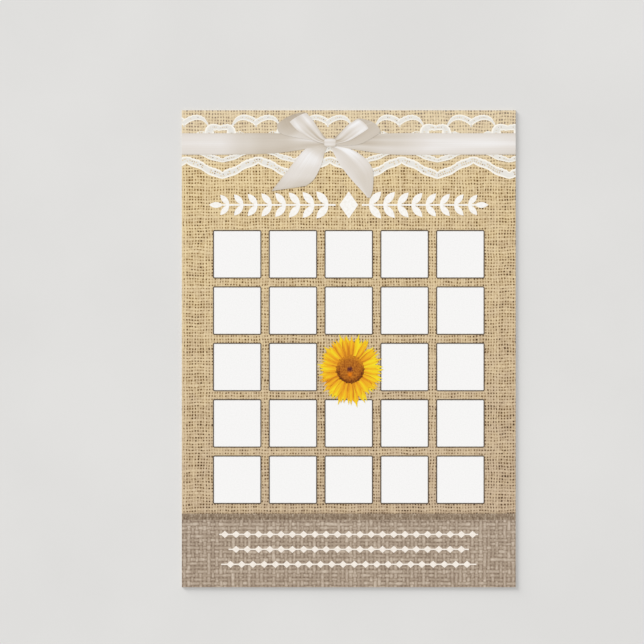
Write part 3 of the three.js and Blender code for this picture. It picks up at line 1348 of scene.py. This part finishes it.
@dataclass(frozen=True)
class BowStrip:
    """One face of the bow: two edges, out from the knot and up from it."""

    name: str
    side: Side
    upper: Offsets
    lower: Offsets
    slot: Slot = Slot.RIBBON
    bulge: float = 0.0
    columns: int = 18
    rows: int = 6
    rounded_columns: int = 5

    def round_mouth(self, piece: Piece) -> None:
        """Swells the far end of a flat strip, most in the middle of its width.

        Args:
            piece: The strip.
        """
        side = self.side.value
        first, last = (Vector((side * out, up, 0.0)) for out, up in (self.lower[-1], self.upper[-1]))
        outward = (last - first).cross(Vector((0, 0, side))).normalized() * self.bulge * MM
        take(piece)
        set_mode("EDIT")
        for step in range(self.rounded_columns):
            column = self.columns - step
            ease = (1 - step / self.rounded_columns) ** 2
            for row in range(1, self.rows):
                share = row / self.rows
                choose(piece, lambda vertex: vertex.index == row * (self.columns + 1) + column)
                crown = 4 * share * (1 - share)
                bpy.ops.transform.translate(value=outward * (crown * ease))
        set_mode("OBJECT")

    def build(self, knot: Vector) -> None:
        """Draws the strip and lays it on the card.

        Args:
            knot: Middle of the knot.
        """
        def edge(offsets: Offsets) -> list[Vector]:
            """Places of one edge on the card."""
            return [knot + Vector((self.side.value * out * MM, up * MM, 0.0)) for out, up in offsets]

        node = f"{self.name}_print"
        piece = lay_strip(self.name, edge(self.lower), edge(self.upper), self.columns, self.rows)
        if self.bulge:
            self.round_mouth(piece)
        press(piece, node)
        satin = SATINS[self.name].material("satin_" + self.name.removeprefix("bow_"))
        hand_over(piece, satin, self.slot, node)


SATINS = {
    "ribbon_left": Satin(
        along=(
            (0.0, 0.42), (0.13, 0.6), (0.28, 0.58), (0.42, 0.48),
            (0.55, 0.5), (0.66, 0.64), (0.8, 0.84), (1.0, 0.82),
        ),
        root=((0.0, 0.55), (0.3, 0.28), (0.5, 0.5), (0.68, 0.88), (0.85, 0.66), (1.0, 0.4)),
        mouth=((0.0, 0.36), (0.12, 0.46), (0.5, 0.55), (0.85, 0.5), (1.0, 0.4)),
        fold_reach=0.55,
    ),
    "ribbon_right": Satin(
        along=((0.0, 0.42), (0.15, 0.5), (0.3, 0.52), (0.5, 0.66), (0.68, 0.86), (0.85, 0.86), (1.0, 0.8)),
        root=((0.0, 0.6), (0.25, 0.7), (0.5, 0.3), (0.7, 0.5), (0.85, 0.3), (1.0, 0.5)),
        mouth=((0.0, 0.3), (0.15, 0.44), (0.5, 0.6), (0.85, 0.5), (1.0, 0.38)),
    ),
    "bow_left_loop_front": Satin(
        along=((0.0, 0.36), (0.2, 0.58), (0.5, 0.66), (0.8, 0.82), (1.0, 0.76)),
        root=((0.0, 0.4), (0.15, 0.8), (0.28, 0.3), (0.42, 0.64), (0.55, 0.12), (0.78, 0.72), (1.0, 0.45)),
        mouth=((0.0, 0.5), (0.2, 0.6), (0.5, 0.4), (0.75, 0.6), (1.0, 0.46)),
    ),
    "bow_right_loop_front": Satin(
        along=((0.0, 0.34), (0.2, 0.5), (0.45, 0.72), (0.78, 0.88), (0.9, 0.88), (1.0, 0.74)),
        root=((0.0, 0.5), (0.12, 0.85), (0.26, 0.3), (0.4, 0.55), (0.55, 0.15), (0.8, 0.62), (1.0, 0.42)),
        mouth=((0.0, 0.5), (0.2, 0.55), (0.5, 0.52), (0.8, 0.6), (1.0, 0.42)),
    ),
    "bow_left_loop_back": Satin(
        along=((0.0, 0.36), (0.3, 0.55), (0.5, 0.62), (0.62, 0.4), (0.85, 0.3), (1.0, 0.26)),
        root=((0.0, 0.62), (0.3, 0.55), (0.5, 0.2), (1.0, 0.35)),
        mouth=((0.0, 0.66), (0.3, 0.54), (0.6, 0.5), (1.0, 0.5)),
    ),
    "bow_right_loop_back": Satin(
        along=((0.0, 0.38), (0.5, 0.44), (0.8, 0.45), (1.0, 0.46)),
        root=((0.0, 0.66), (0.15, 0.6), (0.4, 0.34), (1.0, 0.34)),
        mouth=((0.0, 0.5), (0.12, 0.56), (0.3, 0.55), (0.55, 0.5), (0.62, 0.6), (0.7, 0.46), (1.0, 0.5)),
    ),
    "bow_left_tail": Satin(
        along=((0.0, 0.42), (0.2, 0.66), (0.45, 0.92), (0.7, 0.78), (0.88, 0.6), (1.0, 0.46)),
        root=((0.0, 0.44), (0.3, 0.5), (0.6, 0.5), (0.9, 0.46), (1.0, 0.42)),
        mouth=((0.0, 0.46), (0.3, 0.5), (0.65, 0.57), (0.9, 0.56), (1.0, 0.44)),
    ),
    "bow_right_tail": Satin(
        along=((0.0, 0.66), (0.2, 0.82), (0.45, 0.75), (0.7, 0.66), (1.0, 0.68)),
        root=((0.0, 0.54), (0.35, 0.42), (0.5, 0.42), (0.64, 0.68), (0.85, 0.72), (1.0, 0.58)),
        mouth=((0.0, 0.68), (0.35, 0.5), (0.55, 0.47), (0.7, 0.43), (1.0, 0.43)),
    ),
    "bow_knot": Satin(
        along=((0.0, 0.55), (0.2, 0.78), (0.5, 0.78), (0.8, 0.72), (1.0, 0.5)),
        root=((0.0, 0.3), (0.3, 0.6), (0.55, 0.48), (0.8, 0.64), (1.0, 0.45)),
        mouth=((0.0, 0.3), (0.3, 0.56), (0.55, 0.5), (0.8, 0.62), (1.0, 0.45)),
    ),
}


@dataclass
class RibbonBow:
    """The satin ribbon across the head, and its bow: two loops of two faces each, two tails and a knot."""

    knot: Vector = field(init=False)

    def strips(self) -> list[BowStrip]:
        """All faces of the ribbon and the bow.

        Returns:
            The faces, from the lowest to the knot.
        """
        left_edge = (self.knot.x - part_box("ribbon_left_print")[0].x) / MM
        right_edge = (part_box("ribbon_right_print")[1].x - self.knot.x) / MM
        top = (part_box("ribbon_left_print")[1].y - self.knot.y) / MM
        bottom = (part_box("ribbon_left_print")[0].y - self.knot.y) / MM
        return [
            BowStrip(
                "ribbon_left", Side.LEFT,
                upper=((0.2, 0.9), (7.0, 1.9), (15.0, top), (27.0, top), (left_edge, top)),
                lower=((0.2, -0.8), (7.0, -1.75), (15.0, bottom + 0.35), (27.0, bottom), (left_edge, bottom)),
                columns=28,
            ),
            BowStrip(
                "ribbon_right", Side.RIGHT,
                upper=((0.2, 0.9), (8.0, 1.9), (17.0, top), (33.0, top), (right_edge, top)),
                lower=((0.2, -0.8), (8.0, -2.0), (17.0, bottom), (33.0, bottom), (right_edge, bottom)),
                columns=28,
            ),
            BowStrip(
                "bow_left_tail", Side.LEFT,
                upper=(
                    (0.9, -0.7), (4.5, -1.25), (6.9, -1.9),
                    (10.3, -6.05), (13.35, -10.05), (15.6, -12.85),
                ),
                lower=((0.6, -0.9), (1.45, -2.7), (2.0, -4.8), (2.9, -7.3), (4.4, -9.9), (6.4, -11.5)),
            ),
            BowStrip(
                "bow_right_tail", Side.RIGHT,
                upper=(
                    (0.7, -0.8), (5.0, -1.5), (7.9, -3.0), (10.2, -5.0),
                    (11.5, -7.8), (11.4, -12.4), (10.7, -14.6),
                ),
                lower=(
                    (0.3, -1.2), (1.2, -3.2), (2.8, -6.0), (4.8, -8.7),
                    (6.8, -11.0), (8.4, -12.7), (10.0, -14.6),
                ),
            ),
            BowStrip(
                "bow_left_loop_back", Side.LEFT,
                upper=((0.6, 0.8), (2.9, 3.4), (4.9, 6.4), (6.7, 8.15)),
                lower=((0.6, -0.7), (5.0, 0.7), (12.8, 2.3), (14.2, 4.8)),
                slot=Slot.RIBBON_SHADE, bulge=0.75,
            ),
            BowStrip(
                "bow_right_loop_back", Side.RIGHT,
                upper=((0.6, 0.8), (4.5, 4.3), (7.3, 6.4), (9.4, 6.15)),
                lower=((0.6, -0.6), (7.3, -0.5), (12.2, 1.9), (13.5, 3.2)),
                slot=Slot.RIBBON_SHADE, bulge=0.7,
            ),
            BowStrip(
                "bow_left_loop_front", Side.LEFT,
                upper=((0.6, 0.9), (1.7, 1.5), (2.9, 3.5), (4.5, 5.9), (6.25, 8.0)),
                lower=((0.6, -0.5), (3.8, 0.35), (6.9, 2.05), (9.1, 3.7), (10.75, 5.55)),
                bulge=0.3,
            ),
            BowStrip(
                "bow_right_loop_front", Side.RIGHT,
                upper=((0.6, 0.9), (1.64, 1.35), (4.5, 4.5), (7.4, 6.4)),
                lower=((0.6, -0.5), (4.7, 0.4), (8.1, 2.3), (10.3, 3.85)),
                bulge=0.3,
            ),
            BowStrip(
                "bow_knot", Side.RIGHT,
                upper=((-1.6, 0.85), (-0.8, 1.12), (0.8, 1.12), (1.6, 0.85)),
                lower=((-1.6, -0.85), (-0.8, -1.1), (0.8, -1.1), (1.6, -0.85)),
                columns=10,
            ),
        ]

    def build(self) -> None:
        """Lays the ribbon and ties the bow."""
        low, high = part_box("bow_knot_print")
        self.knot = Vector(((low.x + high.x) / 2, (low.y + high.y) / 2, 0.0))
        for strip in self.strips():
            strip.build(self.knot)


@dataclass
class Sunflower:
    """The sunflower on the free space: two rings of ray petals round a brown disc of florets."""

    petals: int = 23
    back_share: float = 1.0
    front_share: float = 0.95
    front_turn: float = 0.5
    petal_width: float = 1.65
    width_shares: Sequence[float] = (0.42, 0.8, 1.0, 0.92)
    root_share: float = 0.34
    columns: int = 4
    rows: int = 4
    levels: int = 4
    low_stretch: float = 0.09
    low_power: int = 4
    high_stretch: float = 0.02
    high_power: int = 2
    turn_stray: float = 0.24
    lengths: Limits = (0.94, 1.05)
    widths: Limits = (0.8, 1.25)
    tints: Limits = (0.3, 0.74)
    top_warmth: float = 0.02
    left_warmth: float = 0.13
    florets: int = 150
    floret_size: float = 0.2
    floret_sizes: Limits = (0.75, 1.25)
    floret_corners: int = 6
    floret_height: float = 0.012
    floret_taper: float = 0.55
    field_share: float = 1.03
    seed: int = 5
    middle: Vector = field(init=False)
    reach: Vector = field(init=False)
    dice: random.Random = field(init=False)

    def petal(self, tip: PetalTip) -> Piece:
        """One ray petal of unit length along X.

        Args:
            tip: How it ends.

        Returns:
            The petal as a flat sheet.
        """
        half = self.petal_width / 2 * MM
        tip_width, pulls = tip.value
        widths = (*self.width_shares, tip_width)
        far = [Vector((step / (len(widths) - 1), half * width, 0.0)) for step, width in enumerate(widths)]
        near = [Vector((point.x, -point.y, 0.0)) for point in far]
        piece = lay_strip("petal", near, far, self.columns, self.rows)
        set_mode("EDIT")
        for row, pull in enumerate(pulls):
            choose(piece, lambda vertex: vertex.index == row * (self.columns + 1) + self.columns)
            bpy.ops.transform.translate(value=(pull, 0, 0))
        set_mode("OBJECT")
        return piece

    def ring(self, name: str, share: float, turn: float, node: str, slot: Slot) -> None:
        """A ring of petals, copied from one and varied.

        Args:
            name: The ring's name.
            share: Its reach as a share of the flower's.
            turn: Its turn in petals.
            node: The solid that it stands for.
            slot: The record's slot for it.
        """
        low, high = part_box(node)
        models = [self.petal(tip) for tip in PetalTip]
        copies = []
        for index in range(self.petals):
            model = self.dice.choice(models)
            stray = self.dice.uniform(-self.turn_stray, self.turn_stray)
            angle = 2 * math.pi * (index + turn + stray) / self.petals
            out = Vector((math.cos(angle), math.sin(angle), 0.0))
            reach = Vector((out.x * self.reach.x, out.y * self.reach.y)).length
            down, up = max(0.0, -out.y), max(0.0, out.y)
            stretch = 1 + self.low_stretch * down**self.low_power + self.high_stretch * up**self.high_power
            length = share * stretch * reach * self.dice.uniform(*self.lengths)
            start = length * self.root_share
            level = low.z + (high.z - low.z) * (index % self.levels) / self.levels
            copy = copy_of(model)
            width = self.dice.uniform(*self.widths)
            shape = Matrix.Diagonal((length - start, width, 1.0, 1.0))
            place = Matrix.Translation(self.middle + out * start + Vector((0, 0, level)))
            copy.data.transform(place @ Matrix.Rotation(angle, 4, "Z") @ shape)
            tint = copy.data.attributes.new("tint", "FLOAT", "POINT")
            warmth = self.top_warmth * up + self.left_warmth * max(0.0, -out.x)
            value = self.dice.uniform(*self.tints) - warmth
            tint.data.foreach_set("value", [value] * len(copy.data.vertices))
            copies.append(copy)
        for model in models:
            bpy.data.objects.remove(model)
        piece = join(copies, name)
        apply_modifier(piece, "SOLIDIFY", thickness=(high.z - low.z) / self.levels, offset=1.0)
        hand_over(piece, PetalInk(f"{name}_ink").material(), slot, node)

    def floret_field(self, top: float) -> None:
        """Small florets in a spiral over the disc.

        Args:
            top: Height of the disc's face.
        """
        low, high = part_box("flower_disc_print")
        radius = (high.x - low.x) / 2
        deselect_all()
        corners, taper = self.floret_corners, self.floret_taper
        bpy.ops.mesh.primitive_circle_add(vertices=corners, radius=self.floret_size * MM, fill_type="NGON")
        model = bpy.context.object
        set_mode("EDIT")
        bpy.ops.mesh.extrude_region_move(TRANSFORM_OT_translate={"value": (0, 0, self.floret_height * MM)})
        bpy.ops.transform.resize(value=(taper, taper, 1), center_override=(0, 0, 0))
        bpy.ops.mesh.select_all(action="SELECT")
        bpy.ops.mesh.normals_make_consistent(inside=False)
        set_mode("OBJECT")
        copies = []
        golden = math.pi * (3 - math.sqrt(5))
        for index in range(self.florets):
            out = radius * self.field_share * math.sqrt((index + MIDDLE) / self.florets)
            angle = index * golden
            copy = copy_of(model)
            size = self.dice.uniform(*self.floret_sizes)
            turn = Matrix.Rotation(self.dice.uniform(0, math.pi), 4, "Z")
            place = self.middle + Vector((math.cos(angle) * out, math.sin(angle) * out, top))
            shape = turn @ Matrix.Diagonal((size, size, 1, 1))
            copy.data.transform(Matrix.Translation(place) @ shape)
            copies.append(copy)
        bpy.data.objects.remove(model)
        piece = join(copies, "flower_florets")
        ink = DiscInk("floret_ink", self.middle.x / MM, self.middle.y / MM, radius / MM)
        hand_over(piece, ink.material(), Slot.DISC)

    def build(self) -> None:
        """Makes the petals, the disc and its florets."""
        self.dice = random.Random(self.seed)
        low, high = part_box("flower_back_petals_print")
        self.middle = Vector(((low.x + high.x) / 2, (low.y + high.y) / 2, 0.0))
        self.reach = Vector(((high.x - low.x) / 2, (high.y - low.y) / 2))
        self.ring("flower_back_petals", self.back_share, 0.0, "flower_back_petals_print", Slot.PETAL_BACK)
        self.ring(
            "flower_front_petals", self.front_share, self.front_turn, "flower_front_petals_print", Slot.PETAL,
        )
        disc_low, disc_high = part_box("flower_disc_print")
        x, y = self.middle.x / MM, self.middle.y / MM
        radius = (disc_high.x - disc_low.x) / 2 / MM
        disc = DiscInk("disc_ink", x, y, radius).material()
        dress("flower_disc_print", disc)
        dress("flower_centre_print", disc)
        self.floret_field(disc_high.z)


@dataclass
class Studio:
    """A pale floor, soft light from the upper left and a camera straight above."""

    lens: float = 85.0
    sensor: float = 36.0
    frame_width: float = 171.7
    camera_x: float = -7.12
    camera_y: float = 7.13
    floor_half: float = 1500.0
    floor_gap: float = 0.02
    sky: float = 0.71
    lamp_share: float = 0.29
    lamp_elevation: float = 14.0
    lamp_angle: float = 28.0
    lamp_distance: float = 600.0
    floor_paper: Paper = Paper("pale_floor", (226, 225, 223), (222, 221, 219), 0.8, 0.02)

    def build(self) -> None:
        """Sets the floor, the light and the camera."""
        self.floor()
        self.light()
        self.camera()
        bpy.context.scene.view_settings.view_transform = "Standard"

    def floor(self) -> None:
        """A flat floor just under the card."""
        deselect_all()
        size = 2 * self.floor_half * MM
        bpy.ops.mesh.primitive_grid_add(x_subdivisions=2, y_subdivisions=2, size=size)
        floor = bpy.context.object
        floor.name = "floor"
        floor.data.transform(Matrix.Translation((0, 0, -self.floor_gap * MM)))
        floor.data.materials.append(self.floor_paper.material())

    def light(self) -> None:
        """An even white sky, and one low lamp that draws the card's soft shadow."""
        world = bpy.data.worlds.new("studio_sky")
        world.use_nodes = True
        sky = world.node_tree.nodes["Background"]
        sky.inputs["Color"].default_value = (1.0, 1.0, 1.0, 1.0)
        sky.inputs["Strength"].default_value = self.sky
        bpy.context.scene.world = world
        lift = math.radians(self.lamp_elevation)
        data = bpy.data.lights.new("studio_lamp", "SUN")
        data.angle = math.radians(self.lamp_angle)
        data.energy = self.lamp_share * math.pi / math.sin(lift)
        lamp = bpy.data.objects.new("studio_lamp", data)
        level = self.lamp_distance * math.cos(lift) / math.sqrt(2)
        lamp.location = Vector((-level, level, self.lamp_distance * math.sin(lift))) * MM
        lamp.rotation_euler = (-lamp.location).to_track_quat("-Z", "Y").to_euler()
        lamp.visible_glossy = False
        show(lamp)

    def camera(self) -> None:
        """A camera that looks straight down on the card, with its head upwards."""
        data = bpy.data.cameras.new("camera")
        data.lens = self.lens
        data.sensor_width = self.sensor
        camera = bpy.data.objects.new("camera", data)
        height = self.frame_width * self.lens / self.sensor
        camera.location = Vector((self.camera_x, self.camera_y, height)) * MM
        show(camera)
        bpy.context.scene.camera = camera


def main() -> None:
    """Builds the card's sub-assemblies in order, then the studio."""
    logging.basicConfig(level=logging.INFO, format="%(message)s")
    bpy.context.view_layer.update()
    assemblies = (
        CardStock(), WovenGround(), PlayingSquares(), LaceEdging(), RibbonBow(), Sunflower(), Studio(),
    )
    for assembly in assemblies:
        LOG.info("building %s", type(assembly).__name__)
        assembly.build()


if __name__ == "__main__":
    main()
